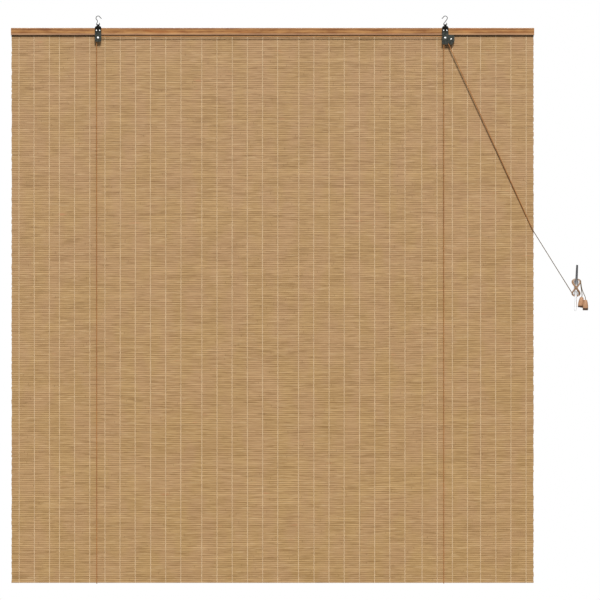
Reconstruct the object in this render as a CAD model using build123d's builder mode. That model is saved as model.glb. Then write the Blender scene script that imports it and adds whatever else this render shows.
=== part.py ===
from build123d import *

import os
from math import asin, atan2, cos, degrees, hypot, radians, sin, sqrt, tan

# Bamboo roll-up blind, let down, hung by two hooks, with its pull cords made fast on a cleat.
# Millimetres, +Z up, the front faces -Y. The origin is midway between the two points
# where the hooks hang, so everything but the hooks' own wire lies below it.

# Head rail: a planed batten in front of the top of the mat
rail_length = 1500.0
rail_height = 21.0
rail_thickness = 9.0
rail_edge_radius = 2.2
rail_drop = 33.0  # from the hanging line down to the top of the rail
rail_middle = 2.5  # the rail's middle lies this far right of the hooks' middle

# Reed mat
mat_height = 1590.0
mat_side_inset = 2.0  # each side edge lies this far inside the rail's end
mat_top_inset = 1.0
reed_pitch = 6.1
reed_thickness = 2.0
reed_web = 0.7  # thickness left in the groove between two reeds
reed_flat_share = 0.64  # flat of a reed's face, of the pitch
gap_count = 110  # slits between reeds that do not quite meet
gap_height = 0.9
gap_length_share = 0.78  # of the space between two threads
gap_row_share = 0.618  # spreads the slits over the height
gap_column_share = 0.7549  # spreads the slits over the width

# Threads that bind the reeds: one row of strips on each face
thread_width = 1.8
thread_thickness = 0.5
thread_edge_inset = 21.0  # first and last thread to the side edge
thread_steps = 33
thread_seam_shares = {2: 0.66, 11: 1.38, 17: 1.38, 25: 1.12, 29: 0.86}  # uneven steps

# Bottom batten, behind the mat
batten_height = 20.0
batten_thickness = 6.0
batten_edge_radius = 1.5

# Staples of flat wire that hold the mat to the rail, and the two that hold the cords
staple_wire = 1.2
staple_crown = 9.0
staple_leg = 8.5
staple_every = 3  # spaces between threads
staple_rise = 5.0  # above the rail's lower edge
anchor_rise = 7.0  # cord's end above the rail's lower edge
anchor_leg = 5.0  # into the rail
anchor_knot_radius = 1.8

# Pulley blocks: a folded strap with two cheeks, held to the rail by two screws
block_inset = 252.5  # each block's mean distance from its end of the rail
strap_sheet = 1.2
strap_gap = 8.0  # between the cheeks
cheek_width = 18.4
cheek_toe = 11.5  # the left cheek's end below the axle
lock_toe = 19.0  # the right cheek's end below the axle
cheek_toe_radius = 4.5
shoulder_radius = 5.6
neck_width = 6.0
axle_drop = 28.4  # axle below the top of the rail
screw_drop = 7.2  # screws below the top of the rail
screw_spacing = 9.4

# Lock cheek, a lobe on the right strap
cam_reach = 16.5  # cam pivot to the right of the axle
cam_fall = 3.7  # cam pivot below the axle
lobe_width = 19.6
lobe_height = 28.0
lobe_corner_radius = 3.4
lobe_side_shares = (0.5, 0.5, 0.15, -0.15, -0.5, -0.5)
lobe_rise_shares = (0.43, -0.16, -0.57, -0.57, -0.16, 0.43)

# Sheaves, axles, rivets and screws
sheave_width = 3.8
sheave_radius = 6.5
groove_mouth = 3.0
groove_floor = 2.4
axle_radius = 1.5
axle_head_radius = 3.1
pivot_head_radius = 2.5
rivet_head_height = 1.4
bush_radius = 3.0
screw_radius = 1.2
screw_head_radius = 1.9
screw_head_height = 1.1
screw_bite = 7.0  # into the rail
sleeve_wall = 1.0

# Toothed lock cam, an eccentric roller
cam_radius = 10.0
cam_throw = 2.5  # pivot above the middle of the roller
cam_teeth = 30
cam_tooth_depth = 0.9

# Hooks of round wire
hook_wire = 2.0
hook_crown_radius = 6.0  # centre line
hook_reach = 22.4  # hanging line down to the middle of the lower loop
hook_waist_radius = 7.8
hook_mouth_angle = 150.0  # where the crown ends and the lip begins
hook_lip_radius = 9.4
hook_lip_turn = 40.0
hook_tip_angle = 50.0  # where the lower loop ends

# Cords
cord_diameter = 2.2
lift_cord_radius = 4.0  # centre line round a sheave
edge_bend_radius = 2.4  # round the bottom edge
exit_length = 9.0  # past the cam, where the block lets the cord go
top_run = 0.05  # straight over a sheave, between the arcs on its two sides
edge_drop = 615.0  # below the hanging line, where the pull cords pass the mat's edge
run_share = 0.45  # of a straight run, the most that an arc at its end takes up

# Wall, cleat and the turns of cord on it
wall_depth = 30.0  # the wall's face behind the hooks
cleat_gap = 122.5  # the cleat's middle from the mat's right edge
cleat_drop = 778.0  # below the hanging line
cleat_lean = 2.5  # degrees, top to the right
cleat_length = 132.0
cleat_bar_radius = 3.5
cleat_tip_share = 0.82  # tip radius, of the bar's radius
cleat_bar_height = 16.0  # bar's middle above the wall
cleat_tip_rise = 4.0  # tips stand this much further out
cleat_web_length = 40.0
cleat_web_width = 7.0
cleat_base_length = 46.0
cleat_base_width = 13.0
cleat_base_thickness = 3.0
cleat_hole_spacing = 16.0
cleat_hole_radius = 1.8
cleat_sink_radius = 3.1
turns_diameter = 4.8  # two cords side by side

# Tassels on the cord ends
tassel_height = 30.0
tassel_radius = 8.0
tassel_crown_radius = 4.6
tassel_lip_radius = 7.4
tassel_bulge_share = 0.28  # height of the widest place
tassel_bore = 1.4
tassel_recess_radius = 5.2
tassel_recess_depth = 9.0
tassel_edge_radius = 1.2
knot_radius = 3.0
tassel_lead = 8.0  # the cord is straight this far above the tassel

# Clearances
running_clearance = 0.05  # wheel or cam on its rivet
side_clearance = 0.1  # wheel beside wheel or cheek
cam_side_clearance = 0.3
fixed_clearance = 0.02  # rivet or screw in a fixed hole
cord_clearance = 0.3  # cord from what it runs on
edge_clearance = 0.5  # cord from the mat and the batten
edge_stand = 0.8  # more where the pull cords bend round the mat's edge
hook_clearance = 0.3
cord_spacing = 2.6  # the two pull cords, centre to centre
overrun = 1.0

os.makedirs("parts", exist_ok=True)


def write(block, name):
    """Label a finished piece and write its file."""
    block.part.label = name
    export_step(block.part, f"parts/{name}.step")


# Heights and depths that several pieces share
rail_top = -rail_drop
rail_bottom = rail_top - rail_height
rail_front = strap_gap / 2 + strap_sheet
rail_back = rail_front + rail_thickness
mat_front = rail_back + thread_thickness
mat_back = mat_front + reed_thickness
mat_middle = (mat_front + mat_back) / 2
mat_top = rail_top - mat_top_inset
mat_bottom = mat_top - mat_height
mat_width = rail_length - 2 * mat_side_inset
mat_left = rail_middle - mat_width / 2
mat_right = mat_left + mat_width
batten_front = mat_back + thread_thickness
batten_back = batten_front + batten_thickness
axle_height = rail_top - axle_drop
screw_height = rail_top - screw_drop
fold_height = -hook_reach - strap_gap / 2 - strap_sheet
right_block = rail_length / 2 - block_inset
left_block = -right_block
cord_radius = cord_diameter / 2
cleat_side = mat_right + cleat_gap

# Places of the threads across the mat
seam_sum = thread_steps - len(thread_seam_shares) + sum(thread_seam_shares.values())
thread_pitch = (mat_width - 2 * thread_edge_inset) / seam_sum
thread_places = [mat_left + thread_edge_inset]
for step in range(thread_steps):
    thread_places.append(thread_places[-1] + thread_pitch * thread_seam_shares.get(step, 1))


def front_plane(side, height, depth):
    """A plane that faces the front: x to the right, y up, at a depth behind the hooks."""
    return Plane(origin=(side, depth, height), x_dir=(1, 0, 0), z_dir=(0, -1, 0))


def section_plane(side, height, depth):
    """A plane across the blind: x to the back, y up."""
    return Plane(origin=(side, depth, height), x_dir=(0, 1, 0), z_dir=(1, 0, 0))


# Head rail with its long edges rounded, and blind holes for the blocks' screws
screw_places = [(-screw_spacing / 2, 0), (screw_spacing / 2, 0)]
with BuildPart() as head_rail:
    with BuildSketch(section_plane(rail_middle, rail_top - rail_height / 2, rail_front)):
        with Locations((rail_thickness / 2, 0)):
            Rectangle(rail_thickness, rail_height)
    extrude(amount=rail_length / 2, both=True)
    front_face = head_rail.faces().sort_by(Axis.Y)[0]
    fillet(front_face.edges().filter_by(Axis.X), rail_edge_radius)
    for block in (left_block, right_block):
        with BuildSketch(front_plane(block, screw_height, rail_front)):
            with Locations(*screw_places):
                Circle(screw_radius + fixed_clearance)
        extrude(amount=-screw_bite - fixed_clearance, mode=Mode.SUBTRACT)
write(head_rail, "head_rail")

# Reed mat: one ridged wall, each reed a flat with two bevels, slit where reeds stand apart
reed_count = round(mat_height / reed_pitch)
reed_step = mat_height / reed_count
reed_bevel = reed_step * (1 - reed_flat_share) / 2
front_profile = []
for reed in range(reed_count):
    reed_top = mat_top - reed * reed_step
    front_profile.append((-reed_web / 2, reed_top))
    front_profile.append((-reed_thickness / 2, reed_top - reed_bevel))
    front_profile.append((-reed_thickness / 2, reed_top - reed_step + reed_bevel))
front_profile.append((-reed_web / 2, mat_bottom))
back_profile = [(-depth, height) for depth, height in reversed(front_profile)]
first_gap_row = int((mat_top - rail_bottom) / reed_step) + 2
last_gap_row = reed_count - int(batten_height / reed_step) - 2
with BuildPart() as bamboo_mat:
    with BuildSketch(section_plane(mat_left, 0, mat_middle)):
        with BuildLine():
            Polyline(*front_profile, *back_profile, close=True)
        make_face()
    extrude(amount=mat_width)
    gap_places = []
    for gap in range(gap_count):
        row = first_gap_row + int((gap * gap_row_share % 1) * (last_gap_row - first_gap_row))
        column = int((gap * gap_column_share % 1) * thread_steps)
        middle = (thread_places[column] + thread_places[column + 1]) / 2
        gap_places.append((middle, mat_middle, mat_top - row * reed_step))
    with Locations(*gap_places):
        Box(thread_pitch * gap_length_share * min(thread_seam_shares.values()),
            reed_thickness, gap_height, mode=Mode.SUBTRACT)
write(bamboo_mat, "bamboo_mat")

# Binding threads on the front and the back of the reeds
for face, depth in (("front", mat_front - thread_thickness), ("back", mat_back)):
    with BuildPart() as warp_threads:
        with BuildSketch(front_plane(0, (mat_top + mat_bottom) / 2, depth + thread_thickness)):
            with Locations(*[(place, 0) for place in thread_places]):
                Rectangle(thread_width, mat_height)
        extrude(amount=thread_thickness)
    write(warp_threads, f"{face}_warp_threads")

# Bottom batten, its edges rounded
with BuildPart() as bottom_batten:
    with BuildSketch(section_plane(rail_middle, mat_bottom + batten_height / 2, batten_front)):
        with Locations((batten_thickness / 2, 0)):
            Rectangle(batten_thickness, batten_height)
    extrude(amount=mat_width / 2, both=True)
    back_face = bottom_batten.faces().sort_by(Axis.Y)[-1]
    fillet(back_face.edges().filter_by(Axis.X), batten_edge_radius)
write(bottom_batten, "bottom_batten")

# Staples that hold the mat to the rail, between the threads
staple_spaces = range(staple_every // 2, thread_steps, staple_every)
staple_places = [(thread_places[i] + thread_places[i + 1]) / 2 for i in staple_spaces]
with BuildPart() as head_staples:
    with BuildSketch(Plane.XY.offset(rail_bottom + staple_rise)):
        with Locations(*[(place, mat_back + staple_wire) for place in staple_places]):
            Rectangle(staple_crown, staple_leg + staple_wire, align=(Align.CENTER, Align.MAX))
        with Locations(*[(place, mat_back) for place in staple_places]):
            Rectangle(staple_crown - 2 * staple_wire, staple_leg + overrun,
                      align=(Align.CENTER, Align.MAX), mode=Mode.SUBTRACT)
    extrude(amount=staple_wire)
write(head_staples, "head_staples")


# Straps: two cheeks and the fold that joins them under the hook
def make_strap(side, toe, has_lobe):
    """One folded strap, with a lock lobe beside the axle if it has one."""
    cheek_top = fold_height - axle_height
    cheek_height = cheek_top + toe
    with BuildPart() as strap:
        with BuildSketch(front_plane(side, axle_height, -strap_gap / 2)) as cheek:
            with Locations((0, cheek_top - cheek_height / 2)):
                Rectangle(cheek_width, cheek_height)
            fillet(cheek.vertices().group_by(Axis.Y)[-1], shoulder_radius)
            fillet(cheek.vertices().group_by(Axis.Y)[0], cheek_toe_radius)
            if has_lobe:
                with BuildSketch(mode=Mode.PRIVATE) as lobe:
                    shares = zip(lobe_side_shares, lobe_rise_shares)
                    with BuildLine():
                        Polyline(*[(cam_reach + across * lobe_width, up * lobe_height - cam_fall)
                                   for across, up in shares], close=True)
                    make_face()
                    fillet(lobe.vertices(), lobe_corner_radius)
                add(lobe.sketch)
                with Locations((cam_reach, -cam_fall)):
                    Circle(axle_radius + fixed_clearance, mode=Mode.SUBTRACT)
            Circle(axle_radius + fixed_clearance, mode=Mode.SUBTRACT)
            with Locations(*[(x, screw_height - axle_height) for x, _ in screw_places]):
                Circle(screw_radius + fixed_clearance, mode=Mode.SUBTRACT)
        extrude(amount=strap_sheet)
        mirror(about=Plane.XZ)
        with BuildSketch(section_plane(side, fold_height, 0)):
            Circle(strap_gap / 2 + strap_sheet)
            Circle(strap_gap / 2, mode=Mode.SUBTRACT)
            with Locations((0, -strap_gap)):
                Rectangle(2 * strap_gap, 2 * strap_gap, mode=Mode.SUBTRACT)
        extrude(amount=neck_width / 2, both=True)
    return strap


left_strap = make_strap(left_block, cheek_toe, False)
write(left_strap, "left_strap")
right_strap = make_strap(right_block, lock_toe, True)
write(right_strap, "right_strap")


# Screws through both cheeks into the rail, and the sleeves that keep the cheeks apart
def make_screws(side):
    """Two round-headed screws with pointed ends."""
    with BuildPart() as screws:
        with BuildSketch(front_plane(side, screw_height, -rail_front)):
            with Locations(*screw_places):
                Circle(screw_head_radius)
        extrude(amount=screw_head_height)
        fillet(screws.faces().group_by(Axis.Y)[0].edges(), screw_head_height / 2)
        with BuildSketch(front_plane(side, screw_height, -rail_front)):
            with Locations(*screw_places):
                Circle(screw_radius)
        extrude(amount=-2 * rail_front - screw_bite)
        chamfer(screws.faces().group_by(Axis.Y)[-1].edges(), 2 * screw_radius, screw_radius / 2)
    return screws


def make_sleeves(side):
    """Two short tubes round the screws, as long as the space between the cheeks."""
    with BuildPart() as sleeves:
        with BuildSketch(front_plane(side, screw_height, 0)):
            with Locations(*screw_places):
                Circle(screw_radius + fixed_clearance + sleeve_wall)
                Circle(screw_radius + fixed_clearance, mode=Mode.SUBTRACT)
        extrude(amount=strap_gap / 2, both=True)
    return sleeves


for name, side in (("left", left_block), ("right", right_block)):
    write(make_screws(side), f"{name}_screws")
    write(make_sleeves(side), f"{name}_sleeves")


# Rivets: the sheaves' axles and the cam's pivot, each with two domed heads
def make_rivet(side, height, head_radius):
    """A rivet from cheek to cheek along Y."""
    grip = strap_gap / 2 + strap_sheet
    tip = grip + rivet_head_height
    dome = (head_radius ** 2 + rivet_head_height ** 2) / (2 * rivet_head_height)
    half_turn = asin(head_radius / dome) / 2
    crest = tip - dome * (1 - cos(half_turn))
    with BuildPart() as rivet:
        with BuildSketch(section_plane(side, height, 0)):
            with BuildLine():
                Line((-tip, 0), (tip, 0))
                ThreePointArc((tip, 0), (crest, dome * sin(half_turn)), (grip, head_radius))
                Polyline((grip, head_radius), (grip, axle_radius), (-grip, axle_radius),
                         (-grip, head_radius))
                ThreePointArc((-grip, head_radius), (-crest, dome * sin(half_turn)), (-tip, 0))
            make_face()
        revolve(axis=Axis((side, 0, height), (0, 1, 0)))
    return rivet


cam_side = right_block + cam_reach
cam_height = axle_height - cam_fall
write(make_rivet(left_block, axle_height, axle_head_radius), "left_axle")
write(make_rivet(right_block, axle_height, axle_head_radius), "right_axle")
write(make_rivet(cam_side, cam_height, pivot_head_radius), "cam_pivot")


# Grooved sheaves, and the plain bush beside the single one on the left
def make_sheave(side, depth):
    """A sheave turned about Y, its groove clear of the cord."""
    floor = lift_cord_radius - cord_radius - cord_clearance
    bore = axle_radius + running_clearance
    with BuildPart() as sheave:
        with BuildSketch(section_plane(side, axle_height, depth)):
            with BuildLine():
                Polyline((-sheave_width / 2, bore), (-sheave_width / 2, sheave_radius),
                         (-groove_mouth / 2, sheave_radius), (-groove_floor / 2, floor),
                         (groove_floor / 2, floor), (groove_mouth / 2, sheave_radius),
                         (sheave_width / 2, sheave_radius), (sheave_width / 2, bore), close=True)
            make_face()
        revolve(axis=Axis((side, depth, axle_height), (0, 1, 0)))
    return sheave


sheave_depth = (sheave_width + side_clearance) / 2
write(make_sheave(left_block, sheave_depth), "left_sheave")
write(make_sheave(right_block, sheave_depth), "rear_sheave")
write(make_sheave(right_block, -sheave_depth), "front_sheave")

with BuildPart() as left_bush:
    with BuildSketch(front_plane(left_block, axle_height, -sheave_depth)):
        Circle(bush_radius)
        Circle(axle_radius + fixed_clearance, mode=Mode.SUBTRACT)
    extrude(amount=sheave_width / 2, both=True)
write(left_bush, "left_bush")

# Lock cam: an eccentric roller, toothed all round, that hangs from its pivot
cam_middle = cam_height - cam_throw
with BuildPart() as lock_cam:
    with BuildSketch(front_plane(cam_side, cam_middle, 0)):
        Circle(cam_radius)
        tooth_angle = 360 / cam_teeth
        half_tooth = cam_radius * sin(radians(tooth_angle / 2))
        with PolarLocations(cam_radius, cam_teeth):
            with BuildLine(mode=Mode.PRIVATE) as tooth_space:
                Polyline((overrun, -half_tooth), (overrun, half_tooth), (-cam_tooth_depth, 0), close=True)
            make_face(tooth_space.edges(), mode=Mode.SUBTRACT)
        with Locations((0, cam_throw)):
            Circle(axle_radius + running_clearance, mode=Mode.SUBTRACT)
    extrude(amount=strap_gap / 2 - cam_side_clearance, both=True)
write(lock_cam, "lock_cam")

# Hooks: round wire bent in one plane, the lower loop closed round the strap's neck
loop_radius = hypot(neck_width / 2, strap_sheet) + hook_clearance + hook_wire / 2
crown_rise = hook_reach + hook_wire / 2 - hook_crown_radius


def make_hook(side, curls_back):
    """A hook whose crown opens towards the middle of the blind, or outwards if it curls back."""
    crown = (0, crown_rise)
    with BuildPart() as hook:
        with BuildLine(front_plane(side, -hook_reach, 0)) as wire:
            if curls_back:
                waist_crown = hook_crown_radius + hook_waist_radius
                waist_loop = loop_radius + hook_waist_radius
                waist_rise = (waist_loop ** 2 - waist_crown ** 2 + crown_rise ** 2) / (2 * crown_rise)
                waist = (-sqrt(waist_loop ** 2 - waist_rise ** 2), waist_rise)
                mouth = 180 - hook_mouth_angle
                crown_end = degrees(atan2(waist[1] - crown_rise, waist[0])) % 360
                loop_start = degrees(atan2(waist[1], waist[0]))
                crown_arc = CenterArc(crown, hook_crown_radius, mouth, crown_end - mouth)
                CenterArc(waist, hook_waist_radius, crown_end - 180, loop_start - crown_end)
                CenterArc((0, 0), loop_radius, loop_start, 360 + hook_tip_angle - loop_start)
                JernArc(crown_arc @ 0, (crown_arc % 0) * -1, hook_lip_radius, hook_lip_turn)
            else:
                slant = degrees(asin((hook_crown_radius + loop_radius) / crown_rise))
                crown_arc = CenterArc(crown, hook_crown_radius, -slant, hook_mouth_angle + slant)
                loop_arc = CenterArc((0, 0), loop_radius, 180 - slant, 180 + slant + hook_tip_angle)
                Line(crown_arc @ 0, loop_arc @ 0)
                JernArc(crown_arc @ 1, crown_arc % 1, hook_lip_radius, -hook_lip_turn)
        path = wire.wires()[0]
        with BuildSketch(Plane(origin=path @ 0, z_dir=path % 0)):
            Circle(hook_wire / 2)
        sweep(path=path)
    return hook


write(make_hook(left_block, True), "left_hook")
write(make_hook(right_block, False), "right_hook")


# Cords: tubes along straight runs joined by tangent arcs
def run_radii(points, tight):
    """A radius for each corner of a route, as large as its two runs allow, less where one is given."""
    radii = []
    for i in range(1, len(points) - 1):
        before = Vector(*points[i]) - Vector(*points[i - 1])
        after = Vector(*points[i + 1]) - Vector(*points[i])
        widest = run_share * min(before.length, after.length) / tan(radians(before.get_angle(after) / 2))
        radii.append(tight.get(i, widest))
    return radii


def make_tube(points, diameter, tight, knots):
    """A round tube along a route, with a round knot at each end that has one."""
    radii = run_radii(points, tight)
    with BuildPart() as tube:
        with BuildLine() as line:
            if radii:
                FilletPolyline(*points, radius=radii)
            else:
                Line(*points)
        path = line.wires()[0]
        with BuildSketch(Plane(origin=path @ 0, z_dir=path % 0)):
            Circle(diameter / 2)
        sweep(path=path)
    share = tube.part.volume / (path.length * Circle(diameter / 2, mode=Mode.PRIVATE).area)
    print("length", round(path.length, 1), "volume share", round(share, 4),
          "radii", [round(radius, 1) for radius in radii])
    with tube:
        for end, radius in knots.items():
            with Locations(points[end]):
                Sphere(radius)
    return tube


# Where the cords run: up the back, under the bottom edge, up the front and over the sheaves
cord_back_bottom = batten_back + edge_clearance + cord_radius
cord_back_top = mat_back + thread_thickness + edge_clearance + cord_radius
cord_front_bottom = mat_front - thread_thickness - edge_clearance - cord_radius
cord_under = mat_bottom - edge_clearance - cord_radius
cord_top = axle_height + lift_cord_radius
anchor_height = rail_bottom + anchor_rise

# The cord crosses from the right sheave's far side to the near side of the cam, then slants off
cam_cord_radius = cam_radius + cord_clearance + cord_radius
cam_span = hypot(cam_reach, cam_fall + cam_throw)
cam_dip = atan2(cam_fall + cam_throw, cam_reach)
cross_slant = radians(90) - cam_dip - asin((lift_cord_radius + cam_cord_radius) / cam_span)

# The slanting run goes from the cam to the mat's right edge, where it bends to the cleat
edge_depth = mat_front - edge_clearance - cord_radius - edge_stand
edge_point = (mat_right - edge_clearance, edge_depth, -edge_drop)
slant_run = atan2(edge_point[0] - cam_side, cam_middle - edge_point[2])
slant_run += asin(cam_cord_radius / hypot(edge_point[0] - cam_side, cam_middle - edge_point[2]))
sheave_corner = lift_cord_radius * tan(radians(45) - cross_slant / 2)
wrap_turn = slant_run - cross_slant
cam_corner_angle = (slant_run + cross_slant) / 2
cam_corner_reach = cam_cord_radius / cos(wrap_turn / 2)
cam_corner = (cam_side - cam_corner_reach * cos(cam_corner_angle),
              cam_middle - cam_corner_reach * sin(cam_corner_angle))

lift_cords = {}
for name, block, depth, bend_depth in (
    ("left", left_block, sheave_depth, edge_depth),
    ("right", right_block, -sheave_depth, edge_depth - cord_spacing),
):
    side = block - lift_cord_radius - top_run
    bend = Vector(edge_point[0], bend_depth, edge_point[2])
    corner = Vector(cam_corner[0], depth, cam_corner[1])
    leave = corner + (bend - corner).normalized() * exit_length
    route = [
        (side, cord_back_top, anchor_height),
        (side, cord_back_bottom, cord_under),
        (side, cord_front_bottom, cord_under),
        (side, depth, cord_top),
        (right_block + sheave_corner, depth, cord_top),
        tuple(corner),
        tuple(leave),
    ]
    tight = {1: edge_bend_radius, 2: edge_bend_radius, 3: lift_cord_radius, 4: lift_cord_radius,
             5: cam_cord_radius}
    lift_cords[name] = (leave, bend)
    write(make_tube(route, cord_diameter, tight, {0: anchor_knot_radius}), f"{name}_lift_cord")

# Staples behind the rail, under the knots at the cords' upper ends
anchor_crown = cord_back_top + cord_radius + cord_clearance
anchor_depth = anchor_crown - rail_back + anchor_leg
anchor_width = cord_diameter + 2 * cord_clearance
anchor_places = [block - lift_cord_radius for block in (left_block, right_block)]
with BuildPart() as cord_anchors:
    with BuildSketch(Plane.XY.offset(anchor_height - anchor_knot_radius - cord_clearance)):
        with Locations(*[(place, anchor_crown + staple_wire) for place in anchor_places]):
            Rectangle(anchor_width + 2 * staple_wire, anchor_depth + staple_wire,
                      align=(Align.CENTER, Align.MAX))
        with Locations(*[(place, anchor_crown) for place in anchor_places]):
            Rectangle(anchor_width, anchor_depth + overrun, align=(Align.CENTER, Align.MAX),
                      mode=Mode.SUBTRACT)
    extrude(amount=-staple_wire)
write(cord_anchors, "cord_anchors")

# Cleat: a base and a web on the wall carry a bar whose ends are the two horns
lean = radians(cleat_lean)


def cleat_plane(height):
    """A plane at a height above the wall: x across the cleat, y along it."""
    return Plane(origin=(cleat_side, wall_depth - height, -cleat_drop),
                 x_dir=(cos(lean), 0, -sin(lean)), z_dir=(0, -1, 0))


def on_cleat(across, along, height):
    """A point by its place on the cleat and its height above the wall."""
    return tuple(cleat_plane(height).from_local_coords((across, along, 0)))


def by_cleat(across, up, height):
    """A point by its place beside the cleat's middle, plumb, and its height above the wall."""
    return (cleat_side + across, wall_depth - height, up - cleat_drop)


half_cleat = cleat_length / 2
half_web = cleat_web_length / 2
cleat_tip_radius = cleat_bar_radius * cleat_tip_share
bar_direction = cleat_plane(0).y_dir
with BuildPart() as cleat:
    with BuildSketch(cleat_plane(0)):
        SlotOverall(cleat_base_length, cleat_base_width, rotation=90)
    extrude(amount=cleat_base_thickness)
    fillet(cleat.faces().sort_by(Axis.Y)[0].edges(), cleat_base_thickness / 2)
    with BuildSketch(cleat_plane(0)):
        SlotOverall(cleat_web_length, cleat_web_width, rotation=90)
    extrude(amount=cleat_bar_height)
    for end in (-1, 1):
        for along, rise, radius in (
            (0, 0, cleat_bar_radius),
            (half_web, 0, cleat_bar_radius),
            (half_cleat, cleat_tip_rise, cleat_tip_radius),
        ):
            middle = on_cleat(0, end * along, cleat_bar_height + rise)
            with BuildSketch(Plane(origin=middle, z_dir=bar_direction * end)):
                Circle(radius)
        loft()
    fillet(cleat.edges().group_by(Axis.Z)[0], cleat_tip_radius / 2)
    fillet(cleat.edges().group_by(Axis.Z)[-1], cleat_tip_radius / 2)
    with Locations(cleat_plane(cleat_bar_height + cleat_bar_radius)):
        with Locations((0, cleat_hole_spacing / 2), (0, -cleat_hole_spacing / 2)):
            CounterSinkHole(cleat_hole_radius, cleat_sink_radius)
write(cleat, "cleat")

# Turns of the two cords on the cleat: under the lower horn, across, under the upper horn and back
turns_route = [
    on_cleat(-14.5, -10.5, 8.5),
    on_cleat(-8.5, -20.5, 7.0),
    on_cleat(0.5, -26.0, 6.5),
    on_cleat(9.5, -21.0, 8.0),
    on_cleat(11.0, -11.0, 15.0),
    on_cleat(5.5, -2.5, 22.2),
    on_cleat(-5.5, 5.0, 22.2),
    on_cleat(-11.0, 13.5, 15.0),
    on_cleat(-8.5, 22.5, 7.5),
    on_cleat(0.5, 26.5, 6.5),
    on_cleat(9.5, 21.5, 8.0),
    on_cleat(12.0, 12.0, 17.0),
    on_cleat(7.0, 4.5, 26.8),
    on_cleat(-5.0, -1.5, 28.8),
    on_cleat(-13.0, -8.0, 23.0),
    on_cleat(-13.5, -15.0, 14.5),
]
write(make_tube(turns_route, turns_diameter, {}, {}), "cord_turns")

# Pull cords: straight from the block to the mat's edge, and straight on to the cleat
for name, apart in (("left", cord_spacing / 2), ("right", -cord_spacing / 2)):
    leave, bend = lift_cords[name]
    route = [tuple(leave), tuple(bend), tuple(Vector(*turns_route[0]) + Vector(0, apart, 0))]
    write(make_tube(route, cord_diameter, {}, {}), f"{name}_pull_cord")

# Ends of the cords, each through a tassel to the knot that carries it
tassels = {
    "left": (by_cleat(16.3, -26.7, 9.5), -8.0),
    "right": (by_cleat(26.5, -34.5, 18.0), 0.0),
}
tails = {
    "left": [by_cleat(10.0, 21.0, 8.5), by_cleat(11.5, 13.0, 8.0), by_cleat(14.5, -1.0, 8.6)],
    "right": [by_cleat(11.0, 19.0, 11.5), by_cleat(12.5, 10.5, 12.8), by_cleat(15.5, -2.0, 14.5),
              by_cleat(20.5, -14.5, 16.6)],
}
knot_fall = tassel_height - tassel_recess_depth + knot_radius + cord_clearance
tassel_waist = -tassel_height * (1 - tassel_bulge_share)
for name, (top, tilt) in tassels.items():
    axis = Vector(sin(radians(tilt)), 0, -cos(radians(tilt)))
    tassel_plane = Plane(origin=top, x_dir=(cos(radians(tilt)), 0, sin(radians(tilt))), z_dir=(0, -1, 0))
    route = tails[name] + [tuple(Vector(*top) - axis * tassel_lead), tuple(Vector(*top) + axis * knot_fall)]
    write(make_tube(route, cord_diameter, {}, {-1: knot_radius}), f"{name}_cord_end")
    with BuildPart() as tassel:
        with BuildSketch(tassel_plane):
            with BuildLine():
                Polyline((tassel_crown_radius, 0), (tassel_bore, 0),
                         (tassel_bore, tassel_recess_depth - tassel_height),
                         (tassel_recess_radius, tassel_recess_depth - tassel_height),
                         (tassel_recess_radius, -tassel_height), (tassel_lip_radius, -tassel_height))
                TangentArc((tassel_radius, tassel_waist), (tassel_crown_radius, 0), tangent=(0, 1))
                TangentArc((tassel_radius, tassel_waist), (tassel_lip_radius, -tassel_height),
                           tangent=(0, -1))
            make_face()
        revolve(axis=Axis(top, tuple(axis)))
        fillet(tassel.edges().filter_by(GeomType.CIRCLE).group_by(Axis.Z)[-1], tassel_edge_radius)
    write(tassel, f"{name}_tassel")
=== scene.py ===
# %% [markdown]
# # A bamboo roll-up blind
# The blind hangs let down from two wire hooks. Thin split reeds, bound by columns of thread, hang from a
# planed rail. Two cords lift it over pulley blocks, and they are made fast on a cleat at the right. The
# packed model gives the frame: every piece below is placed in it, in metres, with +Z up, +X to the right
# and the front at -Y. Rigid pieces keep their packed shape and only get a finish. The reeds, the threads
# and the pull cords are finer than the packed solids, so they are modelled here in their place.

# %% Load the frame
import math
import random

import bmesh
import bpy
from mathutils import Matrix, Vector


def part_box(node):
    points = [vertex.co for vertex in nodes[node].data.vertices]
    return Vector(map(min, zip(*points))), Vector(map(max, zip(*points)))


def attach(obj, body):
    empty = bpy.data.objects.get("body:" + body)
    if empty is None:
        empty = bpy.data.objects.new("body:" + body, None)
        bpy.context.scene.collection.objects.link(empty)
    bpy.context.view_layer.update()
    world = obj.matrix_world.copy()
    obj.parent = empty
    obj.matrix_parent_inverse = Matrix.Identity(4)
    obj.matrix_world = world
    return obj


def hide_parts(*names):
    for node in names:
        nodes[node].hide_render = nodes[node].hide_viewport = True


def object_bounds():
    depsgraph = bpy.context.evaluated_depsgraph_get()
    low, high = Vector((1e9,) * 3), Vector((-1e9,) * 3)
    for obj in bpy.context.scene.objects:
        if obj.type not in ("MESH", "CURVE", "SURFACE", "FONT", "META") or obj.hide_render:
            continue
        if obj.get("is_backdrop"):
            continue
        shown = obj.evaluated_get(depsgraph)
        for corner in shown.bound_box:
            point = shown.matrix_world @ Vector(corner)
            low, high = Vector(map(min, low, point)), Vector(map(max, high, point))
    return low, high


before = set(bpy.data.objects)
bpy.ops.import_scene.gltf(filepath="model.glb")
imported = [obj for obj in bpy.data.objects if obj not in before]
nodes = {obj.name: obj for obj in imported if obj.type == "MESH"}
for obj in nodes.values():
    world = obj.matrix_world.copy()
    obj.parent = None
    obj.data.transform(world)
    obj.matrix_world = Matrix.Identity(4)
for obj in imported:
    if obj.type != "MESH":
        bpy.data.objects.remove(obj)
cad_low, cad_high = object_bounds()
scene = bpy.context.scene
MM = 0.001
print("frame", len(nodes), "nodes, box", [round(v, 4) for v in (*cad_low, *cad_high)])

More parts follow.
